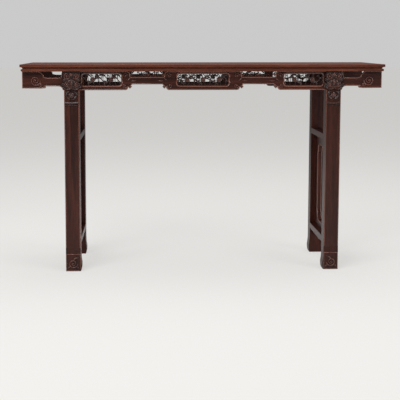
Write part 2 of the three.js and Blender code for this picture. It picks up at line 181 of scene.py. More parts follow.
@dataclass(frozen=True)
class GrainPattern:
    """Figure, pores and the painted shade and highlight from relief that every wood of the table
    shares.

    Scales are in noise cells to the metre, and a shade multiplies the wood's colour.
    """

    figure_scale: float = 38.0
    figure_detail: float = 5.0
    figure_swirl: float = 1.2
    figure_range: Flat = (0.36, 0.66)
    pore_scale: float = 420.0
    pore_detail: float = 2.0
    pore_range: Flat = (0.3, 0.6)
    pore_shade: float = 0.62
    # Painted shade in the hollows of carving and painted highlight on its high places, as
    # multipliers of the colour
    hollow_painted_shade: float = 0.35
    high_painted_highlight: float = 1.9
    gloss_spread: float = 0.12
    bump_strength: float = 0.12
    bump_depth: float = 0.4

    def group(self) -> bpy.types.NodeTree:
        """Returns the node group of the grain, made on first use.

        Returns:
            A group that turns object coordinates into figure colour, roughness and pore height.
            Relief darkens the ground of the carving with painted shade and makes its high places
            paler with a painted highlight.
        """
        if "WoodGrain" in bpy.data.node_groups:
            return bpy.data.node_groups["WoodGrain"]
        tree = bpy.data.node_groups.new("WoodGrain", "ShaderNodeTree")
        inputs = {"Stretch": "Vector", "Light": "Color", "Dark": "Color", "Gloss": "Float",
                  "Relief": "Float"}
        add_sockets(tree, inputs, {"Color": "Color", "Roughness": "Float", "Height": "Float"})
        nodes, link = tree.nodes, tree.links.new
        given = nodes.new("NodeGroupInput")
        result = nodes.new("NodeGroupOutput")
        place = nodes.new("ShaderNodeTexCoord")
        stretch = nodes.new("ShaderNodeVectorMath")
        stretch.operation = "MULTIPLY"
        link(place.outputs["Object"], stretch.inputs[0])
        link(given.outputs["Stretch"], stretch.inputs[1])

        figure = nodes.new("ShaderNodeTexNoise")
        figure.inputs["Scale"].default_value = self.figure_scale
        figure.inputs["Detail"].default_value = self.figure_detail
        figure.inputs["Distortion"].default_value = self.figure_swirl
        link(stretch.outputs[0], figure.inputs["Vector"])
        pores = nodes.new("ShaderNodeTexNoise")
        pores.inputs["Scale"].default_value = self.pore_scale
        pores.inputs["Detail"].default_value = self.pore_detail
        link(stretch.outputs[0], pores.inputs["Vector"])

        colour = nodes.new("ShaderNodeMix")
        colour.data_type = "RGBA"
        blend = remapped(tree, figure.outputs["Fac"], self.figure_range, (0.0, 1.0))
        link(blend, colour.inputs["Factor"])
        link(given.outputs["Dark"], colour.inputs["A"])
        link(given.outputs["Light"], colour.inputs["B"])
        streak = remapped(tree, pores.outputs["Fac"], self.pore_range, (self.pore_shade, 1.0))
        streaked = multiplied(tree, colour.outputs["Result"], streak)
        # Painted light: low relief darkens the colour into painted shade, high relief lightens it
        # into a painted highlight
        painted_light = remapped(tree, given.outputs["Relief"], (0.0, 1.0),
                       (self.hollow_painted_shade, self.high_painted_highlight))
        link(multiplied(tree, streaked, painted_light), result.inputs["Color"])

        shine = nodes.new("ShaderNodeMath")
        shine.operation = "MULTIPLY_ADD"
        shine.inputs[1].default_value = self.gloss_spread
        link(figure.outputs["Fac"], shine.inputs[0])
        link(given.outputs["Gloss"], shine.inputs[2])
        link(shine.outputs["Value"], result.inputs["Roughness"])
        link(pores.outputs["Fac"], result.inputs["Height"])
        return tree


@dataclass(frozen=True)
class WoodFinish:
    """A polished hardwood, in linear colour.

    Gloss is the least roughness, coat the weight of the wax over the wood, level the strength
    of the wood's own reflection, and carved says that the colour follows the relief, as painted
    shade in the hollows and a painted highlight on the high places.
    """

    name: str
    slot: str
    light: tuple[float, float, float]
    dark: tuple[float, float, float]
    gloss: float
    coat: float
    level: float
    carved: bool = False
    pattern: GrainPattern = GrainPattern()

    def material(self, grain: Grain) -> bpy.types.Material:
        """Returns this finish with its grain in one direction, made on first use.

        Args:
            grain: direction of the grain.

        Returns:
            The material, shared by every piece that asks for the same pair.
        """
        name = f"{self.name}_{grain.name.lower()}"
        if name in bpy.data.materials:
            return bpy.data.materials[name]
        material = bpy.data.materials.new(name)
        material.use_nodes = True
        nodes, link = material.node_tree.nodes, material.node_tree.links.new
        shader = nodes["Principled BSDF"]
        shader.inputs["Coat Weight"].default_value = self.coat
        shader.inputs["Coat Roughness"].default_value = COAT_ROUGHNESS
        shader.inputs["Specular IOR Level"].default_value = self.level
        wood = nodes.new("ShaderNodeGroup")
        wood.node_tree = self.pattern.group()
        wood.inputs["Stretch"].default_value = grain.value
        wood.inputs["Light"].default_value = (*self.light, 1.0)
        wood.inputs["Dark"].default_value = (*self.dark, 1.0)
        wood.inputs["Gloss"].default_value = self.gloss
        # Carved wood takes its painted shade and painted highlight from the relief attribute
        if self.carved:
            relief = nodes.new("ShaderNodeAttribute")
            relief.attribute_name = "relief"
            link(relief.outputs["Fac"], wood.inputs["Relief"])
        else:
            wood.inputs["Relief"].default_value = PLAIN_RELIEF
        bump = nodes.new("ShaderNodeBump")
        bump.inputs["Strength"].default_value = self.pattern.bump_strength
        bump.inputs["Distance"].default_value = self.pattern.bump_depth * MM
        link(wood.outputs["Color"], shader.inputs["Base Color"])
        link(wood.outputs["Roughness"], shader.inputs["Roughness"])
        link(wood.outputs["Height"], bump.inputs["Height"])
        link(bump.outputs["Normal"], shader.inputs["Normal"])
        return material


# Lighter than the body wood, which is the same wood, to stand in for the light falling on the top:
# painted light
PAINTED_LIGHT_TOP_WOOD = WoodFinish(
    name="top_wood", slot="top_wood", light=(0.150, 0.043, 0.023), dark=(0.070, 0.018, 0.010),
    gloss=0.34, coat=0.0, level=0.12,
)
BODY_WOOD = WoodFinish(
    name="body_wood", slot="body_wood", light=(0.060, 0.0145, 0.0085),
    dark=(0.024, 0.0062, 0.0042), gloss=0.29, coat=0.05, level=0.2,
)
# Carved: the relief paints shade into the hollows of the carving and a highlight on its high
# places
CARVED_WOOD = WoodFinish(
    name="carved_wood", slot="carved_wood", light=(0.082, 0.023, 0.013),
    dark=(0.044, 0.012, 0.008), gloss=0.22, coat=0.22, level=0.4, carved=True,
)
# Paler than the body wood to stand in for the highlights along the beads: a painted highlight
PAINTED_HIGHLIGHT_BEAD_WOOD = WoodFinish(
    name="bead_wood", slot="body_wood", light=(0.20, 0.070, 0.044), dark=(0.115, 0.037, 0.023),
    gloss=0.16, coat=0.4, level=0.5,
)


@dataclass
class Stroke:
    """One rounded stroke of carving: a path with a width and a depth along it."""

    path: list[Point]
    width: Width
    depth: Width


def even(size: float) -> Width:
    """Returns a profile of one size along the whole stroke."""
    return lambda share: size


def taper(start: float, end: float) -> Width:
    """Returns a profile that runs evenly from one size to another."""
    return lambda share: start + (end - start) * share


def leaf_profile(size: float, belly: float = 0.45, fullness: float = 0.8,
                 tip: float = 0.08) -> Width:
    # Top pieces take the top wood, whose lighter colour is painted light
    """Returns a profile that starts and ends in a point.

    Args:
        size: size at the widest place.
        belly: where along the stroke the widest place is.
        fullness: power of the sine that the outline follows, fuller as it is lower.
        tip: size of the ends, as a share of the widest place.

    Returns:
        The profile.
    """

    def profile(share: float) -> float:
        """Returns the size at one share of the stroke."""
        turn = share / belly * 0.5 if share < belly else 0.5 + (share - belly) / (1 - belly) * 0.5
        return max(size * math.sin(math.pi * turn) ** fullness, size * tip)

    return profile


def dome_profile(radius: float, tip: float = 0.05) -> Width:
    """Returns the profile of a ball, whose ends keep a small share of its radius."""
    return lambda share: max(radius * math.cos(math.pi * (share - 0.5)), radius * tip)


@dataclass(frozen=True)
class Scroll:
    """A volute beside a line, such as an edge or the middle of a leg.

    Turns are negative the other way round, and the start is an angle in radians.
    """

    out: float
    z: float
    radius: float
    turns: float
    thick: float
    start: float = 0.0
    proud: float = 0.0


@dataclass(frozen=True)
class Sprig:
    """A leaf beside a line, which leans from upright and bends, in radians."""

    out: float
    z: float
    lean: float
    length: float
    size: float
    bend: float
    depth: float


@dataclass
class Carving:
    """Strokes in the X and Z plane that are fused into one closed carved mesh."""

    strokes: list[Stroke] = field(default_factory=list)
    bead_steps: int = 7
    leaf_steps: int = 9
    vein_rise: float = 0.62
    vein_width: Flat = (1.1, 0.5)
    vein_depth: Flat = (1.2, 0.8)
    scroll_steps: int = 18
    wound_in: float = 0.78
    ease_rounds: int = 2
    ease_share: float = 0.4

    def add(self, path: Iterable[Point], width: Width, depth: Width) -> None:
        """Adds a stroke."""
        self.strokes.append(Stroke(list(path), width, depth))

    def ball(self, x: float, y: float, z: float, radius: float) -> None:
        """Adds a round bead.

        Args:
            x: centre along the table.
            y: depth of the centre.
            z: centre in height.
            radius: radius of the bead.
        """
        turns = [math.pi * (i / self.bead_steps - 0.5) for i in range(self.bead_steps + 1)]
        path = [(x + radius * math.sin(turn), y, z) for turn in turns]
        self.add(path, dome_profile(radius), dome_profile(radius))

    def leaf(self, x: float, y: float, z: float, angle: float, length: float, size: float,
             bend: float = 0.5, depth: float = 3.6) -> None:
        """Adds a curved pointed leaf with a raised vein.

        Args:
            x: start of the leaf along the table.
            y: depth of the middle of the leaf.
            z: start of the leaf in height.
            angle: direction at the start, in radians.
            length: length along the leaf.
            size: half of the greatest width.
            bend: how far the direction turns, in radians.
            depth: half of the greatest thickness.
        """
        path = [(x, y, z)]
        for i in range(self.leaf_steps):
            heading = angle + bend * i / self.leaf_steps
            px, py, pz = path[-1]
            step = length / self.leaf_steps
            path.append((px + step * math.cos(heading), py, pz + step * math.sin(heading)))
        self.add(path, leaf_profile(size), leaf_profile(depth))
        vein = [(px, py - depth * self.vein_rise, pz) for px, py, pz in path[:-1]]
        self.add(vein, taper(*self.vein_width), taper(*self.vein_depth))

    def flower(self, x: float, y: float, z: float, radius: float, petals: int) -> None:
        """Adds a flower of pointed petals round a bead.

        Args:
            x: centre along the table.
            y: depth of the middle of the petals.
            z: centre in height.
            radius: length of a petal.
            petals: number of petals.
        """
        for i in range(petals):
            angle = TAU * (i + 0.25) / petals
            self.leaf(x, y, z, angle, length=radius, size=radius * 0.34, bend=0.25, depth=3.2)
        self.ball(x, y - 2.6, z, radius * 0.3)

    def volute(self, x: float, y: float, z: float, radius: float, start: float,
               turns: float, thick: float = 1.6) -> None:
        """Adds a spiral scroll that ends in a bead.

        Args:
            x: centre along the table.
            y: depth of the middle of the stroke.
            z: centre in height.
            radius: outer radius.
            start: angle at the outer end, in radians.
            turns: turns from the outer end to the bead, negative the other way round.
            thick: half of the stroke's width at the outer end.
        """
        steps = max(12, int(abs(turns) * self.scroll_steps))
        path = []
        for i in range(steps + 1):
            share = i / steps
            reach = radius * (1 - self.wound_in * share)
            angle = start + TAU * turns * share
            path.append((x + reach * math.cos(angle), y, z + reach * math.sin(angle)))
        self.add(path, taper(thick, thick * 0.7), taper(thick * 1.2, thick))
        self.ball(x, y - thick * 0.4, z, thick * 1.15)

    def trim(self, x: float, y: float, turn: int, scrolls: Sequence[Scroll],
             sprigs: Sequence[Sprig] = ()) -> None:
        """Adds scrolls and leaves beside a line.

        Args:
            x: the line's place along the table.
            y: depth of the face that they stand on.
            turn: 1 as they are drawn, -1 mirrored about the line.
            scrolls: the scrolls.
            sprigs: the leaves.
        """
        for scroll in scrolls:
            start = scroll.start if turn > 0 else math.pi - scroll.start
            self.volute(x + scroll.out * turn, y - scroll.proud, scroll.z, scroll.radius, start,
                        scroll.turns * turn, scroll.thick)
        for sprig in sprigs:
            self.leaf(x + sprig.out * turn, y, sprig.z, QUARTER_TURN - sprig.lean * turn,
                      sprig.length, sprig.size, sprig.bend * turn, sprig.depth)

    def mesh(self, name: str, voxel: float, base: bpy.types.Mesh | None = None) -> bpy.types.Mesh:
        """Fuses the strokes into one closed mesh.

        Args:
            name: name of the mesh.
            voxel: size of the fusing grid, in millimetres.
            base: a solid that the strokes stand on, in metres.

        Returns:
            The mesh, in metres.
        """
        points: list[Vector] = []
        faces: list[tuple[int, ...]] = []
        if base is not None:
            points += [vertex.co.copy() for vertex in base.vertices]
            faces += [tuple(polygon.vertices) for polygon in base.polygons]
        for stroke in self.strokes:
            sweep(stroke, points, faces)
        mesh = bpy.data.meshes.new(name)
        mesh.from_pydata(points, [], faces)
        holder = shown(name, mesh)
        remesh = holder.modifiers.new("fuse", "REMESH")
        remesh.mode = "VOXEL"
        remesh.voxel_size = voxel * MM
        remesh.use_smooth_shade = True
        smooth = holder.modifiers.new("ease", "SMOOTH")
        smooth.iterations = self.ease_rounds
        smooth.factor = self.ease_share
        return baked(holder)


def sweep(stroke: Stroke, points: list[Vector], faces: list[tuple[int, ...]]) -> None:
    """Adds the closed tube of one stroke to a growing mesh.

    Args:
        stroke: the path and its profile, in millimetres.
        points: vertices so far, in metres.
        faces: faces so far.
    """
    start = len(points)
    path = [Vector(point) for point in stroke.path]
    last = len(path) - 1
    for i, place in enumerate(path):
        ahead = path[min(i + 1, last)] - path[max(i - 1, 0)]
        ahead = ahead.normalized() if ahead.length > 1e-6 else Vector((1, 0, 0))
        across = Vector((-ahead.z, 0, ahead.x))
        share = i / last
        width, depth = stroke.width(share), stroke.depth(share)
        for j in range(RING_STEPS):
            angle = TAU * j / RING_STEPS
            offset = across * (width * math.cos(angle))
            offset = offset + Vector((0, depth * math.sin(angle), 0))
            points.append((place + offset) * MM)
    for i in range(last):
        for j in range(RING_STEPS):
            a = start + i * RING_STEPS + j
            b = start + i * RING_STEPS + (j + 1) % RING_STEPS
            faces.append((a, b, b + RING_STEPS, a + RING_STEPS))
    faces.append(tuple(start + j for j in reversed(range(RING_STEPS))))
    faces.append(tuple(start + last * RING_STEPS + j for j in range(RING_STEPS)))


def baked(holder: bpy.types.Object) -> bpy.types.Mesh:
    """Turns an object with modifiers into a plain mesh.

    Args:
        holder: the object, which is removed.

    Returns:
        The mesh.
    """
    bpy.context.view_layer.update()
    graph = bpy.context.evaluated_depsgraph_get()
    mesh = bpy.data.meshes.new_from_object(holder.evaluated_get(graph))
    bpy.data.objects.remove(holder)
    return mesh


def placed(mesh: bpy.types.Mesh, side: Side) -> bpy.types.Mesh:
    """Copies a mesh to one side of the table, with its faces kept outwards.

    Args:
        mesh: the mesh made for the front right.
        side: the side that the copy is for.

    Returns:
        The copy.
    """
    copy = mesh.copy()
    sign_x, sign_y = side.value
    copy.transform(Matrix.Diagonal((sign_x, sign_y, 1, 1)))
    if sign_x * sign_y < 0:
        copy.flip_normals()
    return copy


def piece(name: str, mesh: bpy.types.Mesh, finish: WoodFinish, grain: Grain,
          replaces: Sequence[str] = ()) -> bpy.types.Object:
    """Adds a finished piece to the scene and fastens it to the frame.

    Args:
        name: name of the piece.
        mesh: its mesh, in place.
        finish: its wood.
        grain: direction of its grain.
        replaces: CAD nodes that it stands for.

    Returns:
        The object.
    """
    made = shown(name, mesh)
    mesh.name = name
    mesh.materials.clear()
    mesh.materials.append(finish.material(grain))
    for polygon in mesh.polygons:
        polygon.material_index = 0
        polygon.use_smooth = True
    mesh.set_sharp_from_angle(angle=SHARP)
    if finish.carved:
        mark_relief(mesh)
    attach(made, ROOT)
    if replaces:
        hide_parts(*replaces)
    log.info("%s: %d faces", name, len(mesh.polygons))
    return made


def mark_relief(mesh: bpy.types.Mesh) -> None:
    """Stores how far each vertex of a carving stands forward, from 0 to 1, the mask of its painted
    shade and painted highlight.

    Args:
        mesh: the carving, which gets the attribute relief.
    """
    depths = [abs(vertex.co.y) / MM for vertex in mesh.vertices]
    front = max(depths)
    values = [min(1.0, max(0.0, 1.0 - (front - depth) / RELIEF_RANGE)) for depth in depths]
    mesh.attributes.new("relief", "FLOAT", "POINT").data.foreach_set("value", values)


def moulding_tree() -> bpy.types.NodeTree:
    """Builds the Geometry Nodes tree that sweeps a round bead along a curve.

    Returns:
        The tree, with the bead's radius and material as inputs.
    """
    tree = bpy.data.node_groups.new("BeadMoulding", "GeometryNodeTree")
    inputs = {"Geometry": "Geometry", "Radius": "Float", "Material": "Material"}
    add_sockets(tree, inputs, {"Geometry": "Geometry"})
    nodes, link = tree.nodes, tree.links.new
    given = nodes.new("NodeGroupInput")
    result = nodes.new("NodeGroupOutput")
    circle = nodes.new("GeometryNodeCurvePrimitiveCircle")
    circle.inputs["Resolution"].default_value = RING_STEPS
    tube = nodes.new("GeometryNodeCurveToMesh")
    tube.inputs["Fill Caps"].default_value = True
    paint = nodes.new("GeometryNodeSetMaterial")
    link(given.outputs["Radius"], circle.inputs["Radius"])
    link(given.outputs["Geometry"], tube.inputs["Curve"])
    link(circle.outputs["Curve"], tube.inputs["Profile Curve"])
    link(tube.outputs["Mesh"], paint.inputs["Geometry"])
    link(given.outputs["Material"], paint.inputs["Material"])
    link(paint.outputs["Geometry"], result.inputs["Geometry"])
    return tree


def bead_row_tree() -> bpy.types.NodeTree:
    """Builds the Geometry Nodes tree that strings round beads along a curve.

    Returns:
        The tree, with the beads' radius, pitch and material as inputs.
    """
    tree = bpy.data.node_groups.new("BeadRow", "GeometryNodeTree")
    inputs = {"Geometry": "Geometry", "Radius": "Float", "Pitch": "Float",
              "Material": "Material"}
    add_sockets(tree, inputs, {"Geometry": "Geometry"})
    nodes, link = tree.nodes, tree.links.new
    given = nodes.new("NodeGroupInput")
    result = nodes.new("NodeGroupOutput")
    spread = nodes.new("GeometryNodeCurveToPoints")
    spread.mode = "LENGTH"
    ball = nodes.new("GeometryNodeMeshIcoSphere")
    ball.inputs["Subdivisions"].default_value = 3
    place = nodes.new("GeometryNodeInstanceOnPoints")
    real = nodes.new("GeometryNodeRealizeInstances")
    paint = nodes.new("GeometryNodeSetMaterial")
    link(given.outputs["Geometry"], spread.inputs["Curve"])
    link(given.outputs["Pitch"], spread.inputs["Length"])
    link(given.outputs["Radius"], ball.inputs["Radius"])
    link(spread.outputs["Points"], place.inputs["Points"])
    link(ball.outputs["Mesh"], place.inputs["Instance"])
    link(place.outputs["Instances"], real.inputs["Geometry"])
    link(real.outputs["Geometry"], paint.inputs["Geometry"])
    link(given.outputs["Material"], paint.inputs["Material"])
    link(paint.outputs["Geometry"], result.inputs["Geometry"])
    return tree


def add_spline(curve: bpy.types.Curve, points: Sequence[Point], closed: bool) -> None:
    """Adds straight stretches through some points to a curve.

    Args:
        curve: the curve.
        points: the points, in millimetres.
        closed: whether the last point is joined to the first.
    """
    spline = curve.splines.new("POLY")
    spline.points.add(len(points) - 1)
    for place, point in zip(points, spline.points):
        point.co = (*(Vector(place) * MM), 1.0)
    spline.use_cyclic_u = closed


def along_paths(name: str, tree_maker: Callable[[], bpy.types.NodeTree], tree_name: str,
                paths: Sequence[Sequence[Point]], values: dict[str, object]) -> bpy.types.Mesh:
    """Runs a Geometry Nodes tree along some paths and returns the plain mesh.

    Args:
        name: name of the mesh.
        tree_maker: builds the tree on first use.
        tree_name: name of the tree.
        paths: the paths, in millimetres; one that ends where it starts is closed.
        values: the tree's inputs by name, in metres.

    Returns:
        The mesh, in metres.
    """
    curve = bpy.data.curves.new(name, "CURVE")
    curve.dimensions = "3D"
    for path in paths:
        closed = (Vector(path[0]) - Vector(path[-1])).length < 1e-4
        add_spline(curve, path[:-1] if closed else path, closed)
    holder = shown(name, curve)
    tree = bpy.data.node_groups.get(tree_name) or tree_maker()
    modifier = holder.modifiers.new("nodes", "NODES")
    modifier.node_group = tree
    for item in tree.interface.items_tree:
        if item.in_out == "INPUT" and item.name in values:
            modifier[item.identifier] = values[item.name]
    return baked(holder)


def moulding(name: str, paths: Sequence[Sequence[Point]], radius: float,
             grain: Grain) -> bpy.types.Mesh:
    """Makes round beads along some paths, in the bead wood whose paler colour is a painted
    highlight.

    Args:
        name: name of the mesh.
        paths: the paths, in millimetres.
        radius: radius of the bead, in millimetres.
        grain: direction of the grain.

    Returns:
        The mesh, in metres.
    """
    values = {"Radius": radius * MM, "Material": PAINTED_HIGHLIGHT_BEAD_WOOD.material(grain)}
    return along_paths(name, moulding_tree, "BeadMoulding", paths, values)


def arc(x: float, z: float, radius_x: float, radius_z: float, start: float,
        end: float) -> list[Flat]:
    """Returns points on part of an ellipse.

    Args:
        x: centre along the table.
        z: centre in height.
        radius_x: radius along the table.
        radius_z: radius in height.
        start: where it starts, in turns from the right.
        end: where it ends, in turns.

    Returns:
        The points in X and Z.
    """
    steps = 7
    turns = [start + (end - start) * i / steps for i in range(steps + 1)]
    return [(x + radius_x * math.cos(TAU * t), z + radius_z * math.sin(TAU * t)) for t in turns]


@dataclass
class Apron:
    """The pierced front and back aprons, with beaded edges and scrolls.

    The scrolls of the end stand beside the middle of the end block. Those of the slots stand
    beside the two ends of a slot, and are drawn for its inner end. Scallop, hook and shoulder
    are radii of the board's outline.
    """

    face: float = -167.0
    back: float = -151.0
    top: float = 836.7
    end: float = 743.0
    block: float = 661.0
    block_low: float = 769.0
    end_bar: Flat = (778.0, 809.0)
    mid_bar: Flat = (785.5, 812.0)
    low: float = 762.0
    centre_half: float = 157.0
    side_start: float = 305.0
    leg_outer: float = 573.0
    scallop: Flat = (9.0, 9.0)
    hook: Flat = (8.0, 7.0)
    shoulder: Flat = (10.0, 8.0)
    opening_z: Flat = (775.5, 829.5)
    centre_opening: float = 110.0
    side_opening: Flat = (334.0, 503.0)
    lobe_stretch: float = 1.06
    lobe_turn: float = 0.34
    bead: float = 2.7
    proud: float = 1.0
    voxel: float = 0.75
    end_scrolls: tuple[Scroll, ...] = (
        Scroll(-12.0, 799.0, radius=21.0, turns=1.75, thick=3.1, start=math.pi),
        Scroll(-33.0, 783.0, radius=9.0, turns=-1.2, thick=2.6, start=0.4),
    )
    slot_scrolls: tuple[Scroll, ...] = (
        Scroll(-17.0, 820.0, radius=10.5, turns=1.3, thick=2.4),
        Scroll(-19.0, 777.0, radius=10.0, turns=-1.3, thick=2.4),
        Scroll(3.0, 776.0, radius=6.5, turns=-1.1, thick=1.9),
        Scroll(9.0, 822.0, radius=6.5, turns=1.2, thick=1.8),
    )
    slot_sprigs: tuple[Sprig, ...] = (
        Sprig(-10.0, 799.0, lean=1.2, length=22.0, size=3.4, bend=1.0, depth=3.0),
        Sprig(6.0, 798.5, lean=1.57, length=26.0, size=3.8, bend=0.0, depth=2.6),
    )

    def half_outline(self) -> list[Flat]:
        """Returns the right half of the board's outline.

        Returns:
            Points in X and Z, from the middle of the lower edge round to that of the upper.
        """
        low, top, block = self.low, self.top, self.block
        scallop, hook, shoulder = self.scallop, self.hook, self.shoulder
        bar_low, bar_high = self.mid_bar
        end_low, end_high = self.end_bar
        centre, side = self.centre_half, self.side_start
        path = [(0.0, low), *arc(centre - 16, low + 9, *scallop, -0.25, 0.12)]
        path += arc(centre - 2, low + 12, *hook, -0.16, 0.1)
        path += [(centre + 10, bar_low), (side - 12, bar_low)]
        path += arc(side + 2, low + 12, *hook, 0.4, 0.66)
        path += [*arc(side + 16, low + 9, *scallop, 0.38, 0.75), (self.leg_outer, low)]
        path += arc(self.leg_outer + 24, low, 20, end_low - low, 0.5, 0.25)
        path += [(block - 18, end_low), *arc(block - 4, self.block_low + 4, 7, 5, 0.3, 0.6)]
        path += [(block + 6, self.block_low), (self.end, self.block_low), (self.end, top)]
        path += [(block + 26, top), *arc(block + 18, top - 8, *shoulder, 0.25, 0.4)]
        path += arc(block - 24, end_high + 9, 22, 9, 0.05, -0.25)
        path += [(self.leg_outer + 12, end_high), (self.leg_outer + 6, top)]
        path += [(side + 20, top), *arc(side + 10, top - 9, *shoulder, 0.25, 0.5)]
        path += arc(side - 9, bar_high + 7, *hook, 0.0, -0.25)
        path += arc(centre + 9, bar_high + 7, *hook, 0.75, 0.5)
        path += [*arc(centre - 10, top - 9, *shoulder, 0.0, 0.25), (0.0, top)]
        return path

    def opening(self, x0: float, x1: float) -> list[Flat]:
        """Returns an opening whose ends are each two round lobes.

        Args:
            x0: left end.
            x1: right end.

        Returns:
            Points in X and Z.
        """
        low, high = self.opening_z
        radius = (high - low) / 4
        lobe = radius * self.lobe_stretch
        lobes = (
            (x1 - lobe, low + radius, 0.75), (x1 - lobe, high - radius, 0.91),
            (x0 + lobe, high - radius, 0.25), (x0 + lobe, low + radius, 0.41),
        )
        path: list[Flat] = []
        for x, z, first in lobes:
            path += arc(x, z, lobe, lobe, first, first + self.lobe_turn)
        return path

    def loops(self) -> list[list[Flat]]:
        """Returns the edges of the board.

        Returns:
            The outline and the three openings as closed loops, in X and Z.
        """
        half = self.half_outline()
        outline = half + [(-x, z) for x, z in reversed(half[1:-1])]
        side = self.opening(*self.side_opening)
        mirrored = [(-x, z) for x, z in reversed(side)]
        return [outline, self.opening(-self.centre_opening, self.centre_opening), side, mirrored]

    def board(self) -> bpy.types.Mesh:
        """Makes the pierced board of the front apron.

        Returns:
            The mesh, in metres.
        """
        curve = bpy.data.curves.new("apron_board", "CURVE")
        curve.dimensions = "2D"
        curve.fill_mode = "BOTH"
        curve.extrude = (self.back - self.face) / 2 * MM
        for loop in self.loops():
            add_spline(curve, [(x, z, 0.0) for x, z in loop], True)
        mesh = baked(shown("apron_board", curve))
        middle = Matrix.Translation((0, (self.face + self.back) / 2 * MM, 0))
        mesh.transform(middle @ Matrix.Rotation(QUARTER_TURN, 4, "X"))
        return mesh

    def beads(self) -> bpy.types.Mesh:
        """Makes the beads that follow the edges of the board on its face.

        Returns:
            The mesh, in metres.
        """
        paths = []
        for loop in self.loops():
            path = [(x, self.face, z) for x, z in loop]
            paths.append(path + [path[0]])
        return moulding("apron_beads", paths, self.bead, Grain.ALONG_X)

    def scrolls(self) -> Carving:
        """Draws the volutes, curls and leaves of the right half.

        Returns:
            The carving, in place on the front.
        """
        carving = Carving()
        y = self.face - self.proud
        carving.trim((self.block + self.end) / 2, y, 1, self.end_scrolls)
        for edge, turn in ((self.centre_half, 1), (self.side_start, -1)):
            carving.trim(edge, y, turn, self.slot_scrolls, self.slot_sprigs)
        return carving

    def build(self) -> None:
        """Adds both aprons in place of the CAD boards."""
        board, beads = self.board(), self.beads()
        scrolls = self.scrolls().mesh("apron_scrolls", self.voxel)
        for side, row in ROWS:
            piece(f"pierced_apron_{row}", placed(board, side), BODY_WOOD, Grain.ALONG_X,
                  [f"apron_{row}"])
            piece(f"apron_beads_{row}", placed(beads, side), PAINTED_HIGHLIGHT_BEAD_WOOD, Grain.ALONG_X)
        for side in Side:
            piece(f"apron_scrolls_{side.label}", placed(scrolls, side), CARVED_WOOD, Grain.ALONG_X)


@dataclass
class CarvedPanels:
    """Openwork panels of vines, leaves and flowers let into the aprons.

    Rim, vine and tie are each half of a stroke's width and half of its depth, leaf a leaf's
    length and half of its width, and curl a curl's radius and half of its width. The powers
    square the rim off, and flowers are placed by shares of a panel's length.
    """

    middle_y: float = -159.0
    low: float = 775.0
    high: float = 830.0
    centre_half: float = 111.0
    side_start: float = 333.0
    side_end: float = 504.0
    rim: Flat = (2.6, 5.4)
    rim_steps: int = 64
    rim_power: Flat = (0.16, 0.3)
    vine: Flat = (1.9, 3.4)
    vine_steps: int = 72
    swing: float = 0.52
    wave: float = 66.0
    leaves_to_wave: int = 6
    leaf: Flat = (15.5, 3.4)
    curl: Flat = (5.0, 1.3)
    tie: Flat = (1.3, 2.6)
    flower: float = 12.5
    petals: int = 8
    centre_flowers: tuple[float, ...] = (0.2, 0.5, 0.8)
    side_flowers: tuple[float, ...] = (0.28, 0.72)
    voxel: float = 0.75

    def rim_path(self, centre: float, width: float, height: float) -> list[Point]:
        """Returns the rounded rectangle that the rim follows.

        Args:
            centre: middle of the panel along the table.
            width: half of the rectangle's length.
            height: half of its height.

        Returns:
            The closed path.
        """
        middle = (self.low + self.high) / 2
        power_x, power_z = self.rim_power
        path = []
        for i in range(self.rim_steps + 1):
            angle = TAU * i / self.rim_steps
            cos, sin = math.cos(angle), math.sin(angle)
            square_x = math.copysign(abs(cos) ** power_x, cos)
            square_z = math.copysign(abs(sin) ** power_z, sin)
            path.append((centre + width * square_x, self.middle_y, middle + height * square_z))
        return path

    def carving(self, x0: float, x1: float, flowers: Sequence[float]) -> Carving:
        """Draws one panel.

        Args:
            x0: left edge.
            x1: right edge.
            flowers: places of the flowers, as shares of the panel's length.

        Returns:
            The carving, in place on the front.
        """
        carving = Carving()
        y, middle, centre = self.middle_y, (self.low + self.high) / 2, (x0 + x1) / 2
        height, width = (self.high - self.low) / 2 - self.rim[0], (x1 - x0) / 2 - self.rim[0]
        carving.add(self.rim_path(centre, width, height), *map(even, self.rim))
        reach = height * self.swing

        def stem(x: float) -> float:
            """Returns the height of the vine at one place along the table."""
            return middle + reach * math.sin(TAU * (x - centre) / self.wave)

        xs = [centre - width + 2 * width * i / self.vine_steps for i in range(self.vine_steps + 1)]
        carving.add([(x, y, stem(x)) for x in xs], *map(even, self.vine))
        step = self.wave / self.leaves_to_wave
        for i in range(int(2 * width / step)):
            x = centre - width + (i + 0.7) * step
            up = 1 if i % 2 else -1
            lean = 0.9 if i % 3 else 1.9
            carving.leaf(x, y - 0.6, stem(x), up * lean, *self.leaf, bend=-0.8 * up)
            if i % 2 == 0:
                radius, thick = self.curl
                carving.volute(x + 4, y, middle - up * height * 0.62, radius, up * 1.57, 0.9 * up,
                               thick)
            carving.add([(x, y, stem(x)), (x - 4, y, middle + up * height)], *map(even, self.tie))
        for share in flowers:
            carving.flower(x0 + (x1 - x0) * share, y - 2.2, middle, self.flower, self.petals)
        return carving

    def build(self) -> None:
        """Adds the six panels in place of the CAD plates."""
        centre = self.carving(-self.centre_half, self.centre_half, self.centre_flowers)
        side = self.carving(self.side_start, self.side_end, self.side_flowers)
        centre_mesh = centre.mesh("carved_panel_centre", self.voxel)
        side_mesh = side.mesh("carved_panel_side", self.voxel)
        for where in Side:
            piece(f"openwork_{where.label}", placed(side_mesh, where), CARVED_WOOD,
                  Grain.ALONG_X, [f"carved_panel_{where.label}"])
        for where, row in ROWS:
            piece(f"openwork_{row}_centre", placed(centre_mesh, where), CARVED_WOOD,
                  Grain.ALONG_X, [f"carved_panel_{row}_centre"])


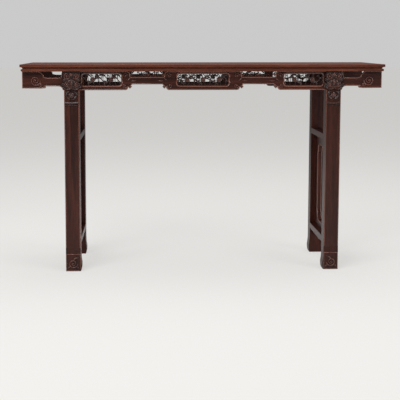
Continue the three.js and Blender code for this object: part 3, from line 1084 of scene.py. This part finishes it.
@dataclass
class Twigs:
    """Small leafy twigs that fill the slots over the middle bars.

    Stem and tie are each half of a stroke's width and half of its depth.
    """

    middle_y: float = -159.0
    low: float = 812.3
    high: float = 836.0
    start: float = 175.0
    end: float = 278.0
    end_room: float = 4.0
    stem: Flat = (1.7, 3.0)
    stem_drop: float = 5.0
    stem_wave: float = 3.0
    stem_steps: int = 40
    leaves: int = 9
    long_leaf: float = 10.5
    short_leaf: float = 6.5
    tie: Flat = (1.3, 2.4)
    scrolls: tuple[Scroll, ...] = (Scroll(7.0, 821.15, radius=5.5, turns=1.2, thick=1.3),)
    voxel: float = 0.65

    def build(self) -> None:
        """Adds the four twigs in place of the CAD solids."""
        carving = Carving()
        y, middle = self.middle_y, (self.low + self.high) / 2
        reach = (self.end - self.start) / 2 - self.end_room
        centre = (self.start + self.end) / 2
        path = []
        for i in range(self.stem_steps + 1):
            share = i / self.stem_steps * 2 - 1
            z = middle - self.stem_drop + self.stem_wave * math.sin(share * 7)
            path.append((centre + reach * share, y, z))
        carving.add(path, *map(even, self.stem))
        for i in range(self.leaves):
            px, _, pz = path[3 + i * 4]
            up = 1 if i % 2 else -1
            length = self.long_leaf if up > 0 else self.short_leaf
            carving.leaf(px, y, pz, up * 1.0, length, 2.8, -0.6 * up, 3.0)
            carving.add([(px, y, pz), (px + 1, y, self.low + 1.2)], *map(even, self.tie))
        carving.flower(centre, y - 1.5, middle, 8.5, 6)
        carving.trim(self.start, y, 1, self.scrolls)
        carving.trim(self.end, y, -1, self.scrolls)
        mesh = carving.mesh("twig", self.voxel)
        for side in Side:
            piece(f"leafy_twig_{side.label}", placed(mesh, side), CARVED_WOOD,
                  Grain.ALONG_X, [f"twig_{side.label}"])


@dataclass
class LegDress:
    """Carving on the legs: cloud lappet, head flower, band, beads and foot scroll.

    A lobe of the lappet is its height, its distance from the leg's middle and its radius. The
    lappet's edge is given by distance from the leg's middle and height. Lobe rim, spine and
    edge rim are each half of a stroke's width and half of its depth. The band is two strokes
    across the leg, given by their heights.
    """

    centre: float = 542.0
    half: float = 31.0
    face: float = -175.0
    voxel: float = 0.7
    lappet_face: float = -183.3
    lobes: tuple[Point, ...] = ((780.0, 33.0, 8.0), (803.0, 28.0, 7.0), (823.0, 25.0, 8.5))
    lobe_steps: int = 16
    lobe_rim: Flat = (3.4, 8.0)
    lobe_bead: float = 4.6
    spine: Flat = (4.2, 7.0)
    lappet_edge: tuple[Flat, ...] = (
        (0.0, 768.5), (7.0, 764.6), (18.0, 763.0), (27.0, 765.5), (31.0, 772.0),
    )
    edge_rim: Flat = (1.8, 2.4)
    lappet_scrolls: tuple[Scroll, ...] = (
        Scroll(17.0, 816.0, radius=13.0, turns=-1.6, thick=2.7, start=QUARTER_TURN, proud=0.5),
        Scroll(19.0, 783.0, radius=9.0, turns=-1.3, thick=2.4, start=QUARTER_TURN, proud=0.5),
    )
    lappet_sprigs: tuple[Sprig, ...] = (
        Sprig(3.0, 801.0, lean=1.9, length=19.0, size=3.6, bend=-1.0, depth=3.2),
    )
    row_z: float = 773.5
    row_half: float = 24.0
    row_bead: float = 1.9
    row_pitch: float = 4.8
    flower_z: float = 739.0
    head_scrolls: tuple[Scroll, ...] = (
        Scroll(21.0, 746.0, radius=7.0, turns=-1.2, thick=2.1, start=QUARTER_TURN),
    )
    head_sprigs: tuple[Sprig, ...] = (
        Sprig(2.0, 720.0, lean=1.15, length=30.0, size=4.6, bend=0.9, depth=3.4),
        Sprig(6.0, 754.0, lean=1.5, length=20.0, size=3.6, bend=-1.2, depth=2.4),
    )
    band: Flat = (698.0, 708.0)
    band_end: float = 3.0
    foot_low: float = 3.0
    foot_top: float = 72.0
    line_z: Flat = (100.0, 760.0)
    grooves: tuple[float, ...] = (79.0, 86.0, 94.0)
    groove: float = 1.2
    bead: float = 2.0
    edge: float = 2.2

    def lappet(self, base: bpy.types.Mesh) -> bpy.types.Mesh:
        """Carves the front right lappet on its CAD solid.

        Args:
            base: the CAD solid.

        Returns:
            The mesh, in metres.
        """
        carving = Carving()
        y = self.lappet_face
        for turn in (1, -1):
            carving.trim(self.centre, y, turn, self.lappet_scrolls, self.lappet_sprigs)
            for z, wing, reach in self.lobes:
                middle = self.centre + wing * turn
                turns = [TAU * i / self.lobe_steps for i in range(self.lobe_steps + 1)]
                ring = [(middle + reach * math.cos(angle), y + 8, z + reach * math.sin(angle))
                        for angle in turns]
                carving.add(ring, *map(even, self.lobe_rim))
                carving.ball(middle, y + 3, z, self.lobe_bead)
            path = [(self.centre + dx * turn, y, z) for dx, z in self.lappet_edge]
            carving.add(path, *map(even, self.edge_rim))
            spine = [(self.centre + (wing - 5) * turn, y + 7, z) for z, wing, _ in self.lobes]
            carving.add(spine, *map(even, self.spine))
        carving.leaf(self.centre, y, 777, QUARTER_TURN, length=27, size=5.4, bend=0.0, depth=3.6)
        carving.flower(self.centre, y - 0.5, 824, radius=9.0, petals=6)
        return carving.mesh("lappet", self.voxel, base)

    def head(self) -> bpy.types.Mesh:
        """Carves the flower, the scrolls and leaves beside it and the stepped band.

        Returns:
            The mesh, in metres.
        """
        carving = Carving()
        y = self.face - 1.5
        carving.flower(self.centre, y - 0.6, self.flower_z, radius=15.0, petals=6)
        for turn in (1, -1):
            carving.trim(self.centre, y, turn, self.head_scrolls, self.head_sprigs)
        low, high = self.band
        reach = self.half - self.band_end
        for z, sag, width, depth in ((high, 2.0, 5.0, 3.6), (low, 1.0, 1.6, 2.4)):
            path = [(self.centre - reach, y, z), (self.centre, y, z - sag),
                    (self.centre + reach, y, z)]
            carving.add(path, even(width), even(depth))
        return carving.mesh("leg_head", self.voxel)

    def foot(self) -> bpy.types.Mesh:
        """Carves the scroll and the leaves on the foot.

        Returns:
            The mesh, in metres.
        """
        carving = Carving()
        y = self.face - 1.0
        carving.volute(self.centre + 1, y, 33, radius=19, start=math.pi, turns=1.6, thick=3.2)
        carving.leaf(self.centre - 23, y, 60, -0.25, length=42, size=3.6, bend=-0.9, depth=3.0)
        carving.leaf(self.centre - 24, y, 12, 0.9, length=16, size=3.0, bend=-0.9, depth=2.8)
        carving.leaf(self.centre + 24, y, 12, 2.2, length=16, size=3.0, bend=0.9, depth=2.8)
        return carving.mesh("foot", self.voxel)

    def edges(self) -> Flat:
        """Returns the left and right place of the beads, a little in from the leg's sides."""
        reach = self.half - self.edge
        return self.centre - reach, self.centre + reach

    def lines(self) -> bpy.types.Mesh:
        """Makes the bead lines of the leg and the border of its foot.

        Returns:
            The mesh, in metres.
        """
        y = self.face
        left, right = self.edges()
        low, high = self.foot_low, self.foot_top
        paths = [[(x, y, z) for z in self.line_z] for x in (left, right)]
        paths.append([(left, y, low), (right, y, low), (right, y, high), (left, y, high),
                      (left, y, low)])
        return moulding("leg_lines", paths, self.bead, Grain.ALONG_Z)

    def foot_lines(self) -> bpy.types.Mesh:
        """Makes the fine lines across the leg above its foot.

        Returns:
            The mesh, in metres.
        """
        paths = [[(x, self.face, z) for x in self.edges()] for z in self.grooves]
        return moulding("foot_lines", paths, self.groove, Grain.ALONG_Z)

    def bead_row(self) -> bpy.types.Mesh:
        """Makes the row of small beads above the lappet's scallops.

        Returns:
            The mesh, in metres.
        """
        ends = (self.centre - self.row_half, self.centre + self.row_half)
        path = [(x, self.lappet_face, self.row_z) for x in ends]
        values = {"Radius": self.row_bead * MM, "Pitch": self.row_pitch * MM,
                  "Material": CARVED_WOOD.material(Grain.ALONG_Z)}
        return along_paths("bead_row", bead_row_tree, "BeadRow", [path], values)

    def build(self, nodes: dict[str, bpy.types.Object]) -> None:
        """Adds the carving of the four legs.

        Args:
            nodes: the CAD nodes by name.
        """
        lappet = self.lappet(nodes["cloud_lappet_front_right"].data)
        parts = {"leg_head_carving": self.head(), "foot_carving": self.foot(),
                 "lappet_beads": self.bead_row()}
        lines, foot_lines = self.lines(), self.foot_lines()
        for side in Side:
            for name, mesh in parts.items():
                piece(f"{name}_{side.label}", placed(mesh, side), CARVED_WOOD, Grain.ALONG_Z)
            piece(f"leg_lines_{side.label}", placed(lines, side), PAINTED_HIGHLIGHT_BEAD_WOOD, Grain.ALONG_Z)
            piece(f"foot_lines_{side.label}", placed(foot_lines, side), BODY_WOOD, Grain.ALONG_Z)
            piece(f"carved_lappet_{side.label}", placed(lappet, side), CARVED_WOOD,
                  Grain.ALONG_Z, [f"cloud_lappet_{side.label}"])


@dataclass
class EndFrames:
    """Beads round the open centre of the inset frame at each end."""

    inner: float = 533.0
    outer: float = 549.0
    low: float = 165.3
    high: float = 505.7
    reach: float = 78.4
    corner: float = 40.0
    bead: float = 1.8

    def loop(self, x: float) -> list[Point]:
        """Returns the closed edge of the open centre in one plane across the table.

        Args:
            x: the plane.

        Returns:
            The path, which ends where it starts.
        """
        low, side, corner = self.low, self.reach, self.corner
        quarter = [
            (side, low + corner),
            (side - corner * 0.25, low + corner * 0.75),
            (side - corner * 0.3, low + corner * 0.4),
            (side - corner * 0.5, low + 3),
            (side - corner, low),
        ]
        half = quarter + [(-y, z) for y, z in reversed(quarter)]
        ring = half + [(-y, low + self.high - z) for y, z in half]
        return [(x, y, z) for y, z in ring + [ring[0]]]

    def build(self) -> None:
        """Adds the beads of both ends."""
        loops = [self.loop(x) for x in (self.inner, self.outer)]
        beads = moulding("end_frame_beads", loops, self.bead, Grain.ALONG_Z)
        for side, end in ((Side.FRONT_RIGHT, "right"), (Side.FRONT_LEFT, "left")):
            piece(f"end_frame_beads_{end}", placed(beads, side), PAINTED_HIGHLIGHT_BEAD_WOOD, Grain.ALONG_Z)


@dataclass
class CadFinish:
    """Finish of the CAD nodes that stay in sight, by the start of their names."""

    bevel: float = 0.7
    bevel_steps: int = 2
    least_angle: float = math.radians(40)
    top: tuple[str, ...] = ("top_rail", "top_panel")
    upright: tuple[str, ...] = ("leg", "frame_upright")
    across: tuple[str, ...] = (
        "top_rail_left", "top_rail_right", "top_batten", "upper_stretcher", "lower_stretcher",
        "frame_top", "frame_bottom", "lower_apron", "end_apron",
    )

    def choose(self, name: str) -> tuple[WoodFinish, Grain]:
        """Chooses the look of a node.

        Args:
            name: name of the node.

        Returns:
            Its wood and the direction of its grain.
        """
        finish = PAINTED_LIGHT_TOP_WOOD if name.startswith(self.top) else BODY_WOOD
        if name.startswith(self.upright):
            return finish, Grain.ALONG_Z
        return finish, Grain.ALONG_Y if name.startswith(self.across) else Grain.ALONG_X

    def build(self, nodes: dict[str, bpy.types.Object]) -> None:
        """Gives each node its wood, and softly rounded edges where it is in sight.

        Args:
            nodes: the CAD nodes by name.
        """
        for name, node in nodes.items():
            finish, grain = self.choose(name)
            node.data.materials.clear()
            node.data.materials.append(finish.material(grain))
            if node.hide_render:
                continue
            soften = node.modifiers.new("soft_edges", "BEVEL")
            soften.width = self.bevel * MM
            soften.segments = self.bevel_steps
            soften.limit_method = "ANGLE"
            soften.angle_limit = self.least_angle
            soften.harden_normals = True
            log.info("%s: %s, %s", name, finish.name, grain.name)


@dataclass(frozen=True)
class Lamp:
    """A soft square lamp, with its place and size in metres and its power in watts."""

    name: str
    place: Point
    size: float
    power: float

    def build(self, aim: Point) -> None:
        """Adds the lamp.

        Args:
            aim: the point that it faces, in metres.
        """
        data = bpy.data.lights.new(self.name, "AREA")
        data.size = self.size
        data.energy = self.power
        lamp = shown(self.name, data)
        lamp.location = self.place
        facing = Vector(aim) - Vector(self.place)
        lamp.rotation_euler = facing.to_track_quat("-Z", "Y").to_euler()


@dataclass
class Studio:
    """Floor, light and camera.

    Surround is the light of the world on the table, and backdrop what the camera sees of it.
    Floor lift is how far the floor's own light replaces its shading for the camera.
    """

    camera_place: Point = (-239.0, -3715.0, 952.0)
    lens: float = 77.3
    sensor: float = 36.0
    yaw: float = math.radians(1.85)
    pitch: float = math.radians(5.5)
    shift: Flat = (0.0675, -0.185)
    floor_reach: float = 30000.0
    floor_colour: tuple[float, float, float, float] = (0.80, 0.79, 0.77, 1.0)
    floor_roughness: float = 0.9
    floor_lift: float = 0.66
    world_colour: tuple[float, float, float, float] = (0.9, 0.9, 0.9, 1.0)
    surround: float = 0.27
    backdrop: float = 0.66
    lamp_aim: Point = (0.0, 0.0, 0.5)
    lamps: tuple[Lamp, ...] = (
        Lamp("key", place=(-1.8, -2.6, 3.2), size=2.6, power=120.0),
        Lamp("fill", place=(3.0, -2.4, 1.6), size=1.8, power=50.0),
        Lamp("overhead", place=(0.2, 0.3, 3.4), size=3.0, power=75.0),
    )

    def floor_material(self) -> bpy.types.Material:
        """Makes the pale floor, lifted for the camera alone so that it meets the backdrop.

        Returns:
            The material.
        """
        material = bpy.data.materials.new("floor")
        material.use_nodes = True
        nodes, link = material.node_tree.nodes, material.node_tree.links.new
        shader = nodes["Principled BSDF"]
        shader.inputs["Base Color"].default_value = self.floor_colour
        shader.inputs["Roughness"].default_value = self.floor_roughness
        lift = nodes.new("ShaderNodeEmission")
        lift.inputs["Color"].default_value = self.floor_colour
        seen = nodes.new("ShaderNodeLightPath")
        share = nodes.new("ShaderNodeMath")
        share.operation = "MULTIPLY"
        share.inputs[1].default_value = self.floor_lift
        mix = nodes.new("ShaderNodeMixShader")
        link(seen.outputs["Is Camera Ray"], share.inputs[0])
        link(share.outputs["Value"], mix.inputs["Fac"])
        link(shader.outputs["BSDF"], mix.inputs[1])
        link(lift.outputs["Emission"], mix.inputs[2])
        link(mix.outputs["Shader"], nodes["Material Output"].inputs["Surface"])
        return material

    def floor(self) -> None:
        """Adds the floor, which is part of the stage and not of the table."""
        mesh = bpy.data.meshes.new("floor")
        reach = self.floor_reach * MM
        corners = [(-reach, -reach, 0), (reach, -reach, 0), (reach, reach, 0), (-reach, reach, 0)]
        mesh.from_pydata(corners, [], [(0, 1, 2, 3)])
        mesh.materials.append(self.floor_material())
        floor = shown("floor", mesh)

    def world(self) -> None:
        """Sets the light from all round, brighter for the camera than for the table."""
        world = bpy.data.worlds.new("studio")
        world.use_nodes = True
        tree = world.node_tree
        background = tree.nodes["Background"]
        background.inputs["Color"].default_value = self.world_colour
        seen = tree.nodes.new("ShaderNodeLightPath")
        level = remapped(tree, seen.outputs["Is Camera Ray"], (0.0, 1.0),
                         (self.surround, self.backdrop))
        tree.links.new(level, background.inputs["Strength"])
        bpy.context.scene.world = world

    def camera(self) -> None:
        """Adds the camera at the photograph's place."""
        data = bpy.data.cameras.new("camera")
        data.lens = self.lens
        data.sensor_width = self.sensor
        data.shift_x, data.shift_y = self.shift
        camera = shown("camera", data)
        camera.location = Vector(self.camera_place) * MM
        camera.rotation_euler = (QUARTER_TURN - self.pitch, 0.0, -self.yaw)
        bpy.context.scene.camera = camera

    def build(self) -> None:
        """Sets the stage."""
        self.floor()
        self.world()
        for lamp in self.lamps:
            lamp.build(self.lamp_aim)
        self.camera()
        bpy.context.scene.view_settings.view_transform = "Standard"


def main() -> None:
    """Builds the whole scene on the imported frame."""
    logging.basicConfig(level=logging.INFO, format="%(name)s: %(message)s")
    for item in list(bpy.data.objects):
        bpy.data.objects.remove(item)
    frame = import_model()
    nodes = frame["nodes"]
    Studio().build()
    Apron().build()
    CarvedPanels().build()
    Twigs().build()
    LegDress().build(nodes)
    EndFrames().build()
    CadFinish().build(nodes)


if __name__ == "__main__":
    main()
